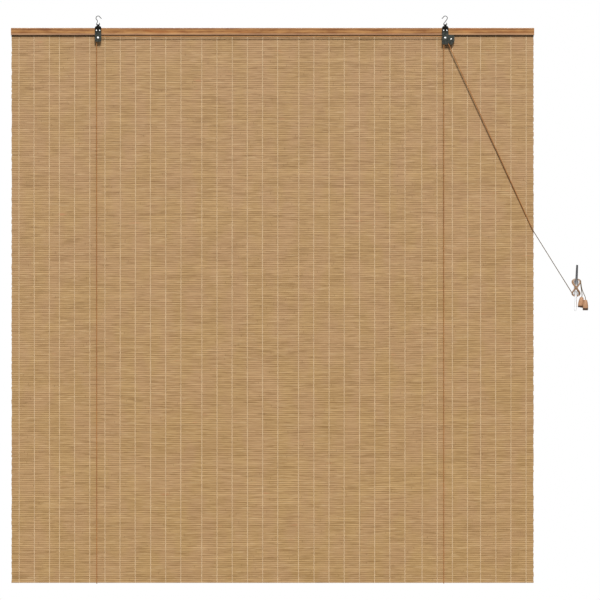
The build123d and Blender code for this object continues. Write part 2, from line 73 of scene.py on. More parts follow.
# %% [markdown]
# ## Camera
# The photograph looks straight at the blind from far away, so its lines stay parallel. A camera without
# any perspective could do that. A long lens thirty metres away does nearly the same and suits other views
# too, so it was chosen. One pixel is 2.8675 mm on the mat. The middle of the line that the hooks hang on
# lies in column 271.7 and row 16.5, and that places the lens.

# %% Camera
PHOTO_SIDE = 600
PIXEL = 2.8675 * MM
HANG_COLUMN, HANG_ROW = 271.7, 16.5
VIEW_DISTANCE = 30.0
FARTHEST = 200.0

mat_low, mat_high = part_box("bamboo_mat")
camera_data = bpy.data.cameras.new("front_camera")
camera = bpy.data.objects.new("front_camera", camera_data)
scene.collection.objects.link(camera)
scene.camera = camera
camera.location = (
    (PHOTO_SIDE / 2 - HANG_COLUMN) * PIXEL,
    mat_low.y - VIEW_DISTANCE,
    (HANG_ROW - PHOTO_SIDE / 2) * PIXEL,
)
camera.rotation_euler = (math.radians(90), 0, 0)
camera_data.lens = camera_data.sensor_width * VIEW_DISTANCE / (PHOTO_SIDE * PIXEL)
camera_data.clip_end = FARTHEST
print("camera", [round(v, 3) for v in camera.location], "lens", round(camera_data.lens, 1))

# %% [markdown]
# ## Shader maths in Python
# A finish is a small sum: grain plus streaks, times a tone. Nodes for such sums are long to write one by
# one. `Value` wraps a node's output, so that Python's own signs add Math nodes, and `Tree.node` makes any
# other node from its type, its settings and what goes into its sockets.


# %% Values
class Value:
    """A node's output. Signs between values, or a value and a number, add Math nodes."""

    def __init__(self, tree, socket):
        self.tree = tree
        self.socket = socket

    def math(self, operation, first, second=0.0):
        return self.tree.node("ShaderNodeMath", {"operation": operation}, {0: first, 1: second})

    def __add__(self, other):
        return self.math("ADD", self, other)

    def __radd__(self, other):
        return self.math("ADD", other, self)

    def __sub__(self, other):
        return self.math("SUBTRACT", self, other)

    def __rsub__(self, other):
        return self.math("SUBTRACT", other, self)

    def __mul__(self, other):
        return self.math("MULTIPLY", self, other)

    def __rmul__(self, other):
        return self.math("MULTIPLY", other, self)

    def __abs__(self):
        return self.math("ABSOLUTE", self)

    def wave(self):
        return self.math("SINE", self)

    def part(self):
        """What is left after the whole number."""
        return self.math("FRACT", self)

    def most(self, other):
        """The larger of the two."""
        return self.math("MAXIMUM", self, other)


ways = [name.strip("_") for name, made in vars(Value).items() if callable(made) and name != "__init__"]
print("a value can be used in", len(ways), "ways:", ways)

# %% [markdown]
# The tree's other methods are short names for what the finishes below use most: the place on the piece,
# noise, a soft step, a mix of two colours, and a bump. Places are in metres, so the number that a place
# is multiplied by says how many spots of noise fit on a metre in that direction.


# %% Trees and finishes
class Tree:
    """A node tree, with one method for every kind of node."""

    def __init__(self, node_tree):
        self.nodes = node_tree.nodes
        self.links = node_tree.links

    def node(self, kind, settings=None, values=None, output=0):
        """Makes a node: first its settings, then a number or a link for each socket."""
        made = self.nodes.new(kind)
        for name, setting in (settings or {}).items():
            setattr(made, name, setting)
        for key, value in (values or {}).items():
            if isinstance(value, Value):
                self.links.new(value.socket, made.inputs[key])
            else:
                made.inputs[key].default_value = value
        return Value(self, made.outputs[output])

    def split(self, vector):
        """A vector as three values."""
        return [self.node("ShaderNodeSeparateXYZ", {}, {0: vector}, axis) for axis in range(3)]

    def place(self):
        """Object coordinates as three values."""
        return self.split(self.node("ShaderNodeTexCoord", output="Object"))

    def noise(self, x, y, z, detail=2.0, rough=0.5):
        """Noise at three values, from 0 to 1."""
        spot = self.node("ShaderNodeCombineXYZ", {}, {0: x, 1: y, 2: z})
        values = {"Vector": spot, "Scale": 1.0, "Detail": detail, "Roughness": rough}
        return self.node("ShaderNodeTexNoise", {}, values)

    def step(self, value, low, high):
        """A soft step from 0 at low to 1 at high."""
        settings = {"interpolation_type": "SMOOTHSTEP"}
        return self.node("ShaderNodeMapRange", settings, {0: value, 1: low, 2: high, 3: 0.0, 4: 1.0})

    def mix(self, share, first, second):
        """A colour between two."""
        return self.node("ShaderNodeMix", {"data_type": "RGBA"}, {0: share, 6: first, 7: second}, 2)

    def bump(self, height, distance):
        """A normal that makes a height of 1 look as high as the distance."""
        return self.node("ShaderNodeBump", {}, {"Height": height, "Distance": distance, "Strength": 1.0})


def paint(red, green, blue):
    """A colour as a screen shows it, 0 to 255, made linear."""
    shares = [value / 255 for value in (red, green, blue)]
    return (*[s / 12.92 if s <= 0.04045 else ((s + 0.055) / 1.055) ** 2.4 for s in shares], 1.0)


def make_finish(name, build):
    """A material whose principled shader takes what build returns for its sockets."""
    material = bpy.data.materials.new(name)
    material.use_nodes = True
    shader = material.node_tree.nodes["Principled BSDF"]
    for socket, value in build(Tree(material.node_tree)).items():
        if isinstance(value, Value):
            material.node_tree.links.new(value.socket, shader.inputs[socket])
        else:
            shader.inputs[socket].default_value = value
    return material


def dress(node, material):
    """A packed node keeps its shape and gets this material."""
    piece = nodes[node]
    piece.data.materials.clear()
    piece.data.materials.append(material)


print("a screen's 128 is", round(paint(128, 128, 128)[0], 3), "of full light")

# %% [markdown]
# ## Cord
# The cords are braided, about 2.2 mm thick. Their strands could be modelled, but they are far finer than
# a pixel, so a bump does. A braid is two sets of strands that wind opposite ways: one wave that climbs to
# the left times one that climbs to the right. The angle round the cord is read from the normal, which
# works on the plumb runs and on the level one alike. The level run under the rail is paler than the
# plumb ones, a painted highlight for the light it catches. The cords are also darker past the mat's edge
# and paler again on the cleat's horns, and the colour follows the place for all of these. One photograph
# can't tell whether it is wear or light.

# %% Cord finish
LIT_LEVEL_FROM, LIT_LEVEL_WHOLE = -76 * MM, -66 * MM
PAST_EDGE_FROM, PAST_EDGE_WHOLE = 738 * MM, 758 * MM
WOUND_FROM, WOUND_WHOLE = 852 * MM, 864 * MM
TAIL_FROM, TAIL_WHOLE = 882 * MM, 888 * MM
BRAID_CLIMB, BRAID_STRANDS = 1900.0, 4.0


def cord_braid(tree):
    x, y, z = tree.place()
    across, out, up = tree.split(tree.node("ShaderNodeNewGeometry", output="Normal"))
    turn = tree.node("ShaderNodeMath", {"operation": "ARCTAN2"}, {0: out, 1: across + up})
    along = (x + z) * BRAID_CLIMB
    braid = (along + turn * BRAID_STRANDS).wave() * (along - turn * BRAID_STRANDS).wave()
    soil = tree.noise(x * 60.0, y * 60.0, z * 9.0, 3.0)
    fuzz = tree.noise(x * 2200.0, y * 2200.0, z * 2200.0)
    tone = tree.step(soil * 0.55 + fuzz * 0.25 + braid * 0.2, 0.2, 0.62)
    plumb = tree.mix(tone, paint(156, 95, 41), paint(198, 135, 67))
    # painted highlight: the level run under the rail is paler, for the light it catches
    level = tree.mix(tone, paint(196, 138, 80), paint(222, 166, 104))
    dark_past_edge = tree.mix(tone, paint(86, 70, 44), paint(122, 101, 66))
    wound = tree.mix(tone, paint(160, 120, 84), paint(204, 164, 126))
    color = tree.mix(tree.step(z, LIT_LEVEL_FROM, LIT_LEVEL_WHOLE), plumb, level)
    color = tree.mix(tree.step(x, PAST_EDGE_FROM, PAST_EDGE_WHOLE), color, dark_past_edge)
    on_horns = tree.step(x, WOUND_FROM, WOUND_WHOLE) - tree.step(x, TAIL_FROM, TAIL_WHOLE)
    return {
        "Base Color": tree.mix(on_horns, color, wound),
        "Roughness": 0.86,
        "Sheen Weight": 0.2,
        "Normal": tree.bump(braid + fuzz * 0.5, 0.3 * MM),
    }


cord_finish = make_finish("cord_braid", cord_braid)
LIFT_CORDS = ("left_lift_cord", "right_lift_cord")
for name in LIFT_CORDS:
    dress(name, cord_finish)
print(cord_finish.name, "on", LIFT_CORDS)

# %% [markdown]
# ## Pull cords and their turns on the cleat
# Each pull cord leaves the block, runs over the mat to its right edge, bends there and goes on to the
# cleat. It makes a figure of eight on the horns: behind the lower horn, across the front, behind the
# upper horn and back. The two cords lie side by side like a ribbon. Every point could be set by hand, but
# then the cords would not stay side by side, so a loop works out the ribbon's middle. `turn` is 0 behind
# the lower horn, a quarter turn is in front of the bar, and a half turn is behind the upper horn. Each
# round lies outside the one before it, because `layer` grows. The figure's sizes are in millimetres.

# %% Turns on the cleat
CLEAT = Vector((873.0, 30.0, -778.0)) * MM
LEAN = math.radians(2.5)
LOOP_ALONG, LOOP_ACROSS = 22.6, 9.6
LOOP_BACK, LOOP_FRONT = 7.6, 21.3
RIBBON_HALF = 1.22
LAYER = 2.5
TURN_STEPS = 16
START_TURN, END_TURN = -0.09, 1.6
LOOK_AHEAD = 0.002


def on_cleat(across, along, height):
    """A point by its place on the leaning cleat and its height above the wall, in millimetres."""
    side = across * math.cos(LEAN) + along * math.sin(LEAN)
    rise = along * math.cos(LEAN) - across * math.sin(LEAN)
    return CLEAT + Vector((side, -height, rise)) * MM


def by_cleat(across, up, height):
    """A point by its place beside the cleat, plumb, and its height above the wall, in millimetres."""
    return CLEAT + Vector((across, -height, up)) * MM


def ribbon_middle(turn):
    """The ribbon's middle and its outward side at a turn: across, along and height, in millimetres."""
    angle = turn * 2 * math.pi
    front = math.sin(angle) ** 2
    across = LOOP_ACROSS * math.sin(2 * angle)
    along = -LOOP_ALONG * math.cos(angle)
    height = LOOP_BACK + (LOOP_FRONT - LOOP_BACK) * front
    outward = Vector((math.sin(2 * angle), -math.cos(angle), front)).normalized()
    layer = front * (2 * turn - 0.5) + (1 - front) * turn
    return Vector((across, along, height)) + outward * max(layer, 0) * LAYER, outward


def turns(side):
    """One cord's points on the cleat, on one side of the ribbon's middle."""
    points = []
    count = round((END_TURN - START_TURN) * TURN_STEPS)
    for i in range(count + 1):
        turn = START_TURN + (END_TURN - START_TURN) * i / count
        middle, outward = ribbon_middle(turn)
        forward = (ribbon_middle(turn + LOOK_AHEAD)[0] - middle).normalized()
        beside = forward.cross(outward).normalized()
        points.append(on_cleat(*(middle + beside * side * RIBBON_HALF)))
    return points


print("each cord has", len(turns(1)), "points on the cleat")

# %% [markdown]
# A cord's line is one NURBS spline, which is smooth by itself, and a curve's bevel makes it round. A mesh
# swept along the points could do the same with more code. Near the block and near the mat's edge a point
# six cord diameters away keeps the long runs straight, as they are in the photograph. Past the turns each
# cord hangs to its tassel and goes down through it to a knot. The exits are the places where the block
# lets the cords go.

# %% Pull cord routes
CORD = 2.2 * MM
NEAR = 6 * CORD
TASSEL_LEAD, KNOT_FALL = 8.0 * MM, 24.3 * MM
tassel_tops = {
    "left": (by_cleat(16.3, -26.7, 9.5), -8.0),
    "right": (by_cleat(26.5, -34.5, 18.0), 0.0),
}
pull_routes = {
    "left": {
        "exit": Vector((506.681, 2.106, -79.057)) * MM,
        "edge": Vector((750.0, 12.3, -615.0)) * MM,
        "arrive": on_cleat(-14.5, -10.5, 9.0),
        "side": 1,
        "tail": [by_cleat(14.2, 11.0, 13.4), by_cleat(16.0, -2.0, 14.6), by_cleat(20.5, -14.5, 16.6)],
        "tassel": "right",
    },
    "right": {
        "exit": Vector((506.681, -1.775, -79.056)) * MM,
        "edge": Vector((750.0, 9.7, -615.0)) * MM,
        "arrive": on_cleat(-14.5, -10.5, 11.6),
        "side": -1,
        "tail": [by_cleat(12.8, 11.5, 9.8), by_cleat(14.5, -1.0, 8.8)],
        "tassel": "left",
    },
}


def along_run(start, end, distance):
    """A point on the straight run from start to end, at a distance from start."""
    return start + (end - start).normalized() * distance


def route_points(route, top, axis):
    """All points of a pull cord, down to the knot in its tassel."""
    return [
        route["exit"],
        along_run(route["exit"], route["edge"], NEAR),
        along_run(route["edge"], route["exit"], NEAR),
        route["edge"],
        along_run(route["edge"], route["arrive"], NEAR),
        route["arrive"],
        *turns(route["side"]),
        *route["tail"],
        top - axis * TASSEL_LEAD,
        top,
        top + axis * KNOT_FALL / 2,
        top + axis * KNOT_FALL,
    ]


for name, route in pull_routes.items():
    run = (route["edge"] - route["exit"]).length
    print(name, "cord runs", round(run, 3), "over the mat, to the", route["tassel"], "tassel")

# %% [markdown] The knot that keeps a tassel on its cord is an overhand knot. Its line is a trefoil, which
# a few sines and cosines give, so no point is set by hand.

# %% Pull cords
KNOT_POINTS = 24
KNOT_SPREAD, KNOT_DEPTH = 0.7 * MM, 1.25 * MM


def make_curve(name, points, thickness, closed=False):
    """A round cord along one NURBS spline."""
    curve = bpy.data.curves.new(name, "CURVE")
    curve.dimensions = "3D"
    spline = curve.splines.new("NURBS")
    spline.points.add(len(points) - 1)
    for control, point in zip(spline.points, points):
        control.co = (*point, 1.0)
    spline.order_u = 3
    spline.use_endpoint_u = not closed
    spline.use_cyclic_u = closed
    spline.resolution_u = 8
    curve.bevel_depth = thickness / 2
    curve.bevel_resolution = 3
    curve.use_fill_caps = True
    piece = bpy.data.objects.new(name, curve)
    scene.collection.objects.link(piece)
    return piece


def curve_length(piece):
    """The length of a curve's own line."""
    flat = piece.copy()
    flat.data = piece.data.copy()
    flat.data.bevel_depth = 0
    line = bpy.data.meshes.new_from_object(flat)
    spots = [vertex.co for vertex in line.vertices]
    bpy.data.objects.remove(flat)
    return sum((b - a).length for a, b in zip(spots, spots[1:]))


def make_knot(name, middle, axis):
    """A small overhand knot, a trefoil of the same cord."""
    aside = axis.orthogonal().normalized()
    across = axis.cross(aside)
    points = []
    for i in range(KNOT_POINTS):
        t = i / KNOT_POINTS * 2 * math.pi
        u = math.sin(t) + 2 * math.sin(2 * t)
        v = math.cos(t) - 2 * math.cos(2 * t)
        w = -math.sin(3 * t)
        points.append(middle + (aside * u + across * v) * KNOT_SPREAD + axis * w * KNOT_DEPTH)
    return make_curve(name, points, CORD, closed=True)


for name, route in pull_routes.items():
    top, tilt = tassel_tops[route["tassel"]]
    axis = Vector((math.sin(math.radians(tilt)), 0, -math.cos(math.radians(tilt))))
    points = route_points(route, top, axis)
    cord = make_curve(f"{name}_pull_cord_braid", points, CORD)
    knot = make_knot(f"{route['tassel']}_tassel_knot", top + axis * KNOT_FALL, axis)
    for piece in (cord, knot):
        piece.data.materials.append(cord_finish)
        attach(piece, "blind")
    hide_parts(f"{name}_pull_cord", "cord_turns", f"{route['tassel']}_cord_end")
    length = curve_length(cord)
    print(cord.name, len(points), "points, length", round(length, 4))

# %% [markdown]
# ## Reeds
# The mat is a row of split bamboo strips, each about 6 mm high and 2 mm thick with rounded edges. A flat
# sheet with stripes would do from afar, but not close by or from the side, so every strip is modelled.
# One strip starts as a cube: it is stretched, its long edges are bevelled, and it is cut along its length
# so that it can bend. It has 50 faces, few enough for some hundreds of copies.

# %% Reed shape
REED_COUNT = 261
REED_CUTS = 5
REED_OVERLAP = 0.12 * MM
REED_BEVEL = 0.62 * MM
mat_height = mat_high.z - mat_low.z
mat_middle = (mat_low + mat_high) / 2
reed_step = mat_height / REED_COUNT


def make_mesh(name, shape):
    """A finished bmesh as a mesh."""
    mesh = bpy.data.meshes.new(name)
    shape.to_mesh(mesh)
    shape.free()
    return mesh


def edges_along(shape, axis):
    """The edges that run further along an axis than a strip is high."""
    return [e for e in shape.edges if abs(e.verts[0].co[axis] - e.verts[1].co[axis]) > reed_step]


def reed_shape():
    """One strip along X, about the origin."""
    shape = bmesh.new()
    bmesh.ops.create_cube(shape, size=1.0)
    size = (mat_high.x - mat_low.x, mat_high.y - mat_low.y, reed_step + REED_OVERLAP)
    bmesh.ops.scale(shape, vec=size, verts=shape.verts)
    bmesh.ops.bevel(shape, geom=edges_along(shape, 0), offset=REED_BEVEL, offset_type="OFFSET", segments=1,
                    profile=0.5, affect="EDGES", material=-1)
    bmesh.ops.subdivide_edges(shape, edges=edges_along(shape, 0), cuts=REED_CUTS)
    return make_mesh("reed_shape", shape)


reed_mesh = reed_shape()
print("one strip has", len(reed_mesh.polygons), "faces and is", round(reed_step / MM, 2), "mm high")

# %% [markdown]
# Split bamboo is straw brown, with fibres and streaks along the strip, pale scrapes, and a thin ring where
# the cane had a joint. Darker dashes are painted shade for slits where strips part, and the groove to the
# next strip is darkened, painted shade and partly dirt. A picture of bamboo could be wrapped on, but it
# would repeat, and noise drawn out along X does not. Three attributes of the strips feed it: `tone` is a
# strip's own shade, `shift` moves the noise along so that no two strips share it, and `rise` is the height
# on the strip, from -0.5 to 0.5. The mat is painted a little paler above and a little darker below, as
# painted light that falls from above.

# %% Bamboo finish
GROOVE_FROM, GROOVE_WHOLE = 0.34, 0.5
RINGS_A_METRE = 2.3
RING_FROM, RING_WHOLE = 0.4982, 0.4996


def bamboo(tree):
    x, y, z = tree.place()
    tone, shift, rise = [tree.node("ShaderNodeAttribute", {"attribute_name": name}, output="Fac")
                         for name in ("tone", "shift", "rise")]
    slow = tree.noise(x * 4.0 + shift * 200.0, shift * 30.0, rise * 1.4, 2.0, 0.6)
    streak = tree.noise(x * 20.0 + shift * 90.0, shift * 40.0, rise * 3.2, 3.0, 0.65)
    fibre = tree.noise(x * 45.0, y * 700.0, z * 2600.0, 2.0)
    # painted shade: darker dashes for shaded slits where strips part
    shaded_slit_dash = tree.step(tree.noise(x * 19.0 + shift * 300.0, shift * 70.0, rise * 2.6, 1.0), 0.56, 0.66)
    pale = tree.step(tree.noise(x * 24.0 + shift * 700.0, shift * 55.0, rise * 2.2, 1.0), 0.6, 0.7)
    band = tree.step(tree.noise(x * 14.0, 0.0, z * 8.0, 2.0), 0.35, 0.65)
    blush = tree.step(tree.noise(x * 15.0 + shift * 12.0, 0.0, z * 45.0, 1.0), 0.7, 0.82)
    ring = tree.step(abs(((x + shift) * RINGS_A_METRE).part() - 0.5), RING_FROM, RING_WHOLE)
    # painted shade, partly dirt: the groove to the next strip is darkened
    groove_shade_and_dirt = tree.step(abs(rise), GROOVE_FROM, GROOVE_WHOLE) * (0.2 + slow * 0.9)
    # painted light: the mat is paler above and darker below, as light falls from above
    painted_light_height = tree.step(z, mat_low.z, mat_high.z)
    level = tree.step(tone * 0.08 + slow * 0.32 + streak * 0.53 + fibre * 0.18, 0.34, 0.75)
    color = tree.mix(level, paint(154, 118, 69), paint(203, 166, 113))
    color = tree.mix(band * 0.3, color, paint(190, 148, 116))
    color = tree.mix(pale * 0.38, color, paint(216, 184, 138))
    color = tree.mix(blush * 0.45, color, paint(200, 132, 90))
    color = tree.mix(shaded_slit_dash * 0.5, color, paint(132, 97, 50))
    color = tree.mix(ring * 0.4, color, paint(120, 84, 48))
    color = tree.mix(groove_shade_and_dirt, color, paint(112, 80, 36))
    color = tree.mix(painted_light_height * 0.1, color, paint(188, 155, 138))
    color = tree.mix((1.0 - painted_light_height) * 0.08, color, paint(150, 116, 78))
    return {
        "Base Color": color,
        "Roughness": 0.7 - fibre * 0.16,
        "Specular IOR Level": 0.3,
        "Normal": tree.bump(fibre + ring * 1.5, 0.25 * MM),
    }


bamboo_finish = make_finish("split_bamboo", bamboo)
print(bamboo_finish.name, len(bamboo_finish.node_tree.nodes), "nodes")

# %% [markdown]
# Copies of the strip are set one below another. An Array modifier could repeat it, but then all would be
# alike, and no two real strips are. So each copy draws its own tone, ends, bow and thickness, and its
# tone leans on the one above, as strips cut from the same cane do. The rows also wander a little up and
# down over the mat, and `drift` says how far, so that the threads can follow.

# %% Reed mat
FULL_TURN = 6.28
TONE_KEPT = 0.45
END_OUT, END_IN = -1.0, 0.6
BOW_MOST, BOW_WAVES = 0.05, 5.0
THINNEST = 0.86
WANDERS = (
    {"most": 1.5 * MM, "across": 3.7, "up": 1.7, "start": 0.0},
    {"most": 0.8 * MM, "across": 5.9, "up": -2.9, "start": 1.0},
)


def drift(x, z):
    """How far the mat's rows wander up or down between its upper and lower edge, in metres."""
    share = (z - mat_low.z) / mat_height
    waves = [w["most"] * math.sin(w["across"] * x + w["up"] * z + w["start"]) for w in WANDERS]
    return sum(waves) * math.sin(math.pi * share)


def make_piece(name, shape, material):
    """A finished bmesh as a piece of the blind."""
    mesh = make_mesh(name, shape)
    mesh.materials.append(material)
    piece = bpy.data.objects.new(name, mesh)
    scene.collection.objects.link(piece)
    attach(piece, "blind")
    return piece


random_reeds = random.Random(7)
mat = bmesh.new()
tone_layer = mat.verts.layers.float.new("tone")
shift_layer = mat.verts.layers.float.new("shift")
rise_layer = mat.verts.layers.float.new("rise")
tone = 0.5
for row in range(REED_COUNT):
    mat.from_mesh(reed_mesh)
    mat.verts.ensure_lookup_table()
    strip = mat.verts[-len(reed_mesh.vertices):]
    tone = TONE_KEPT * tone + (1 - TONE_KEPT) * random_reeds.random()
    shift = random_reeds.random()
    ends = [random_reeds.uniform(END_OUT, END_IN) * MM for _ in range(2)]
    bow = random_reeds.uniform(0, BOW_MOST) * MM
    phase = random_reeds.uniform(0, FULL_TURN)
    flat = random_reeds.uniform(THINNEST, 1.0)
    height = mat_high.z - (row + 0.5) * reed_step
    for vertex in strip:
        spot = vertex.co
        spot.x -= ends[0] if spot.x > 0 else -ends[1]
        spot.y = spot.y * flat + mat_middle.y
        vertex[tone_layer] = tone
        vertex[shift_layer] = shift
        vertex[rise_layer] = spot.z / reed_step
        spot.z += height + bow * math.sin(spot.x * BOW_WAVES + phase) + drift(spot.x, height)
        spot.x += mat_middle.x
reeds = make_piece("reeds", mat, bamboo_finish)
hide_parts("bamboo_mat")
print(reeds.name, REED_COUNT, "strips,", len(reeds.data.polygons), "faces")

# %% [markdown]
# ## Binding threads
# Columns of cotton thread hold the strips. Each thread rides over a strip, dips into the groove, and
# rides over the next, on the front and on the back. A curve with a round bevel would need many faces for
# this. A long square bar turned on its edge, with a ring of points at every crest and every groove, gives
# the same wave with four faces a ring. The columns are as uneven as in the photograph: a few steps
# between them differ.

# %% Thread shape
THREAD_WIDTH, THREAD_DEPTH = 2.0 * MM, 0.6 * MM
THREAD_STEPS = 33
SEAM_SHARES = {2: 0.66, 11: 1.38, 17: 1.38, 25: 1.12, 29: 0.86}
EDGE_INSET = 0.9 * MM
BAR_SIDE = math.sqrt(0.5)

thread_low, thread_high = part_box("front_warp_threads")
step_sum = THREAD_STEPS - len(SEAM_SHARES) + sum(SEAM_SHARES.values())
thread_pitch = (thread_high.x - thread_low.x - 2 * EDGE_INSET) / step_sum
thread_places = [thread_low.x + EDGE_INSET]
for step in range(THREAD_STEPS):
    thread_places.append(thread_places[-1] + thread_pitch * SEAM_SHARES.get(step, 1))


def thread_shape():
    """One thread along Z, about the origin, with a ring at each crest and groove."""
    shape = bmesh.new()
    bmesh.ops.create_cube(shape, size=BAR_SIDE)
    on_edge = Matrix.Rotation(math.radians(45), 3, "Z")
    bmesh.ops.rotate(shape, cent=(0, 0, 0), matrix=on_edge, verts=shape.verts)
    size = (THREAD_WIDTH, THREAD_DEPTH, mat_height / BAR_SIDE)
    bmesh.ops.scale(shape, vec=size, verts=shape.verts)
    bmesh.ops.subdivide_edges(shape, edges=edges_along(shape, 2), cuts=2 * REED_COUNT - 1)
    return make_mesh("thread_shape", shape)


thread_mesh = thread_shape()
print("one thread has", len(thread_mesh.polygons), "faces, and the columns are about",
      round(thread_pitch / MM, 1), "mm apart")

# %% [markdown]
# The thread is twisted cotton, paler than the bamboo. Its plies could be modelled, but they would be
# finer than anything that the camera sees, so a wave along and across the thread gives the twist.

# %% Threads
THREAD_DIP = 0.22 * MM
ZIGZAG = 0.25 * MM
SWAY_LEAST, SWAY_MOST = 0.1, 0.6
SWAY_WAVES = 3.1
TWIST_CLIMB = 5200.0


def thread_cotton(tree):
    x, y, z = tree.place()
    twist = ((z + x * 0.9) * TWIST_CLIMB).wave()
    soil = tree.noise(x * 40.0, y * 40.0, z * 30.0, 3.0)
    tone = tree.step(soil + twist * 0.12, 0.3, 0.7)
    return {
        "Base Color": tree.mix(tone, paint(212, 178, 135), paint(234, 202, 159)),
        "Roughness": 0.85,
        "Sheen Weight": 0.15,
        "Normal": tree.bump(twist, 0.2 * MM),
    }


thread_finish = make_finish("cotton_thread", thread_cotton)
random_threads = random.Random(11)
thread_sides = {
    "front": (thread_high.y - THREAD_DEPTH / 2, 1),
    "back": (mat_high.y + THREAD_DEPTH / 2, -1),
}
for side, (crest, inward) in thread_sides.items():
    columns = bmesh.new()
    for place in thread_places:
        columns.from_mesh(thread_mesh)
        columns.verts.ensure_lookup_table()
        thread = columns.verts[-len(thread_mesh.vertices):]
        sway = random_threads.uniform(SWAY_LEAST, SWAY_MOST) * MM
        phase = random_threads.uniform(0, FULL_TURN)
        for vertex in thread:
            ring = round((vertex.co.z + mat_height / 2) / reed_step * 2)
            dip = inward * THREAD_DIP if ring % 2 == 0 else 0
            aside = ZIGZAG if ring % 4 < 2 else -ZIGZAG
            vertex.co.x += place + sway * math.sin(vertex.co.z * SWAY_WAVES + phase) + aside
            vertex.co.y += crest + dip
            vertex.co.z += mat_middle.z + drift(place, vertex.co.z + mat_middle.z)
    threads = make_piece(f"{side}_threads", columns, thread_finish)
    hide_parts(f"{side}_warp_threads")
    print(threads.name, len(thread_places), "columns,", len(threads.data.polygons), "faces")

# %% [markdown]
# ## Rail and batten
# The rail is a planed batten with its grain along X, warm brown under a thin stain, and the batten behind
# the foot of the mat is of the same wood. It is darker along the upper edge. Above the lower edge a pale
# band is a painted highlight, and the lower edge itself is painted nearly black, a painted shade. The
# grain could come from a picture, but noise drawn out along the length also runs round the edges without a
# seam. The growth lines are waves that a second noise bends.

# %% Rail finish
EDGE_SHADE_FROM, EDGE_SHADE_WHOLE = 1.7 * MM, 1.0 * MM
EDGE_HIGHLIGHT_FROM, EDGE_HIGHLIGHT_WHOLE = 6.0 * MM, 4.0 * MM
TOP_DARK_FROM, TOP_DARK_WHOLE = 7.0 * MM, 4.5 * MM


def batten_wood(low, high):
    """Planed wood with its grain along X, darker at its upper edge, with a painted highlight and a painted
    shade at its lower edge, between a lowest and a highest point.
    """

    def build(tree):
        x, y, z = tree.place()
        bend = tree.noise(x * 1.7, y * 18.0, z * 26.0, 2.0)
        lines = ((z * 620.0 + y * 410.0 + bend * 16.0).wave() + 1.0) * 0.5
        fibre = tree.noise(x * 16.0, y * 1400.0, z * 1400.0, 3.0, 0.6)
        patch = tree.noise(x * 15.0, 3.0, z * 70.0, 3.0, 0.65)
        warm = tree.step(tree.noise(x * 5.0, 9.0, z * 40.0), 0.55, 0.75) * 0.5
        top_dark = (1.0 - tree.step(high.z - z, TOP_DARK_WHOLE, TOP_DARK_FROM)) * 0.35
        # painted highlight: a pale band above the lower edge
        edge_highlight = (1.0 - tree.step(z - low.z, EDGE_HIGHLIGHT_WHOLE, EDGE_HIGHLIGHT_FROM)) * 0.45
        # painted shade: the lower edge is painted nearly black
        edge_shade = 1.0 - tree.step(z - low.z, EDGE_SHADE_WHOLE, EDGE_SHADE_FROM)
        level = tree.step(lines * 0.13 + fibre * 0.3 + patch * 0.69, 0.36, 0.74)
        color = tree.mix(level, paint(122, 70, 24), paint(188, 137, 80))
        color = tree.mix(warm, color, paint(172, 100, 40))
        color = tree.mix(top_dark, color, paint(110, 58, 20))
        color = tree.mix(edge_highlight, color, paint(204, 164, 132))
        color = tree.mix(edge_shade, color, paint(46, 12, 2))
        return {
            "Base Color": color,
            "Roughness": 0.5 - fibre * 0.1,
            "Specular IOR Level": 0.3,
            "Normal": tree.bump(fibre * 0.6 + lines * 0.3, 0.2 * MM),
        }

    return build


for name in ("head_rail", "bottom_batten"):
    low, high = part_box(name)
    dress(name, make_finish(f"{name}_wood", batten_wood(low, high)))
    print(name, round((high.z - low.z) / MM, 1), "mm high")

# %% [markdown]
# ## Tassels
# The tassels are turned from a paler wood, with the grain plumb, and their open foot is painted dark, a
# painted shade. A ring of paint on the mesh could darken the foot, but a step in the finish is simpler,
# and it follows each tassel's own height.

# %% Tassel finish
FOOT_FROM, FOOT_WHOLE = 7.0 * MM, 6.0 * MM


def tassel_wood(foot):
    """Turned wood, with painted shade at its open foot."""

    def build(tree):
        x, y, z = tree.place()
        bend = tree.noise(x * 50.0, y * 50.0, z * 12.0, 2.0)
        lines = ((x * 1700.0 + y * 900.0 + bend * 22.0).wave() + 1.0) * 0.5
        fibre = tree.noise(x * 1500.0, y * 1500.0, z * 70.0, 2.0)
        level = tree.step(lines * 0.14 + fibre * 0.86, 0.2, 0.8)
        # painted shade: the open foot is painted dark
        foot_shade = tree.step(foot - z, -FOOT_FROM, -FOOT_WHOLE) * 0.9
        color = tree.mix(level, paint(156, 110, 76), paint(208, 163, 126))
        return {
            "Base Color": tree.mix(foot_shade, color, paint(46, 30, 20)),
            "Roughness": 0.5,
            "Specular IOR Level": 0.3,
            "Normal": tree.bump(fibre, 0.1 * MM),
        }

    return build


for name in ("left_tassel", "right_tassel"):
    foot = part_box(name)[0].z
    dress(name, make_finish(f"{name}_wood", tassel_wood(foot)))
    print(name, "foot at", round(foot, 4))

# %% [markdown]
# ## Straps and lock cam
# The pulley blocks are folded from plate with a dark zinc coat, a little blotched, and the lock cam
# between the cheeks has the same coat. A plain metal would mirror the white surround and look pale. This
# coat is nearly a paint: little metal, little gloss, and a fine grit in the bump. Towards the fold above
# the rail the colour darkens with height to nearly black, a painted shade and dark reflection.

# %% Plate finish
FOLD_SHADE_FROM, FOLD_SHADE_WHOLE = -52 * MM, -36 * MM


